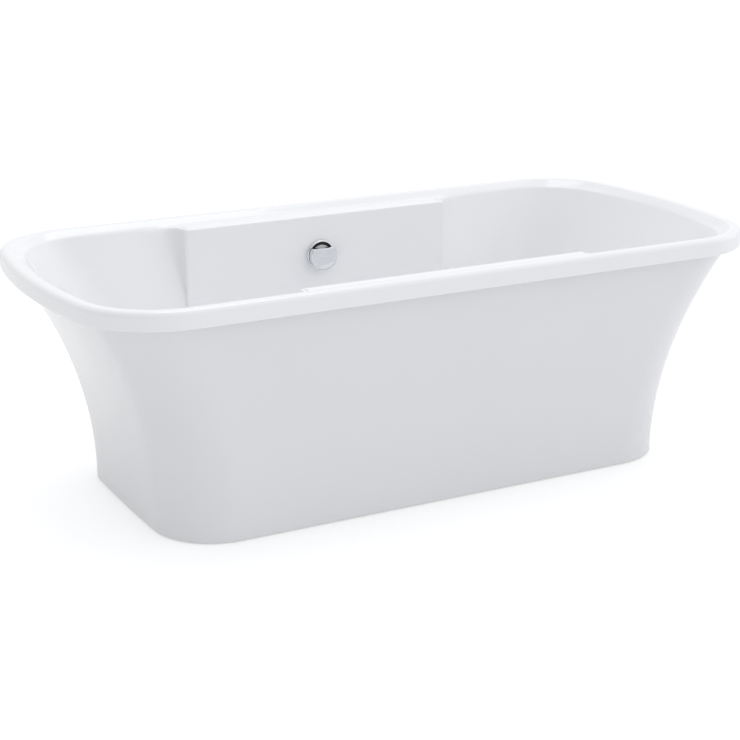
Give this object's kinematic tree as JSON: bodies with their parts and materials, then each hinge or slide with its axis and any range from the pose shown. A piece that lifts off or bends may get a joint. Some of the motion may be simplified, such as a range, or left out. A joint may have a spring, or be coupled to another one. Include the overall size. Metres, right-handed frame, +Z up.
{
  "type": "freestanding bathtub",
  "caption": "Double-ended freestanding bath: flared skirt, rolled rim, basin with a ledged panel in each long wall, overflow knob that lifts the drain plug, levelling feet.",
  "frame": {"origin": "on the floor under the middle of the bath", "axes": "+X along the bath, +Y across it to the side with the overflow knob, +Z up"},
  "size_m": [1.6996, 0.83, 0.556],
  "materials": {
    "tub_acrylic": "gloss white sanitary acrylic",
    "skirt_acrylic": "gloss white sanitary acrylic",
    "batten_timber": "sawn softwood",
    "block_timber": "sawn softwood",
    "base_board": "resin-sealed particle board",
    "frame_steel": "grey powder coat",
    "zinc_steel": "zinc-plated steel",
    "foot_plastic": "black moulded plastic",
    "chrome": "polished chrome plate",
    "brass": "turned brass",
    "seal_rubber": "black rubber",
    "waste_plastic": "white polypropylene",
    "lever_plastic": "grey nylon",
    "hose_plastic": "grey ribbed polypropylene",
    "cable_plastic": "black sheath",
    "clamp_steel": "stainless band"
  },
  "bodies": {
    "tub": {"base_board": "base_board", "board_screws": "zinc_steel", "control_cable": "cable_plastic", "cross_bar_left": "frame_steel", "cross_bar_mid_left": "frame_steel", "cross_bar_mid_right": "frame_steel", "cross_bar_right": "frame_steel", "deck_batten_front": "batten_timber", "deck_batten_rear": "batten_timber", "foot_lock_nuts": "zinc_steel", "foot_weld_nuts": "zinc_steel", "frame_rail_front": "frame_steel", "frame_rail_rear": "frame_steel", "hose_clamps": "clamp_steel", "inner_tub": "tub_acrylic", "lever_pin": "zinc_steel", "outer_skirt": "skirt_acrylic", "outlet_bend": "waste_plastic", "overflow_gasket": "seal_rubber", "overflow_hose": "hose_plastic", "overflow_housing": "waste_plastic", "overflow_ring": "chrome", "overflow_sleeve": "waste_plastic", "skirt_block_front_left": "block_timber", "skirt_block_front_right": "block_timber", "skirt_block_rear_left": "block_timber", "skirt_block_rear_right": "block_timber", "trap_bowl": "waste_plastic", "trap_cap": "waste_plastic", "waste_body": "waste_plastic", "waste_body_gasket": "seal_rubber", "waste_flange": "chrome", "waste_flange_seal": "seal_rubber"},
    "knob": {"overflow_knob": "chrome", "knob_spindle": "brass", "cable_cam": "lever_plastic"},
    "lever": {"lift_lever": "lever_plastic"},
    "plug": {"plug_cap": "chrome", "plug_seal": "seal_rubber", "plug_stem": "brass"},
    "foot_front_left": {"foot_pad_front_left": "foot_plastic", "foot_stud_front_left": "zinc_steel"},
    "foot_front_right": {"foot_pad_front_right": "foot_plastic", "foot_stud_front_right": "zinc_steel"},
    "foot_rear_left": {"foot_pad_rear_left": "foot_plastic", "foot_stud_rear_left": "zinc_steel"},
    "foot_rear_right": {"foot_pad_rear_right": "foot_plastic", "foot_stud_rear_right": "zinc_steel"}
  },
  "joints": [
    {"name": "knob_turn", "type": "hinge", "parent": "tub", "child": "knob", "pos_m": [0, 0.299, 0.441], "axis": [0, 1, 0], "range_deg": [0, 90]},
    {"name": "lever_swing", "type": "hinge", "parent": "tub", "child": "lever", "pos_m": [0, -0.016, 0.089], "axis": [1, 0, 0], "range_deg": [0, 30]},
    {"name": "plug_lift", "type": "slide", "parent": "tub", "child": "plug", "axis": [0, 0, 1], "range_m": [0, 0.008]},
    {"name": "foot_front_left_level", "type": "slide", "parent": "tub", "child": "foot_front_left", "axis": [0, 0, 1], "range_m": [-0.012, 0.002]},
    {"name": "foot_front_right_level", "type": "slide", "parent": "tub", "child": "foot_front_right", "axis": [0, 0, 1], "range_m": [-0.012, 0.002]},
    {"name": "foot_rear_left_level", "type": "slide", "parent": "tub", "child": "foot_rear_left", "axis": [0, 0, 1], "range_m": [-0.012, 0.002]},
    {"name": "foot_rear_right_level", "type": "slide", "parent": "tub", "child": "foot_rear_right", "axis": [0, 0, 1], "range_m": [-0.012, 0.002]}
  ],
  "couplings": [
    {"joint": "lever_swing", "follows": "knob_turn", "ratio": 0.33333},
    {"joint": "plug_lift", "follows": "knob_turn", "m_per_rad": 0.005093}
  ]
}
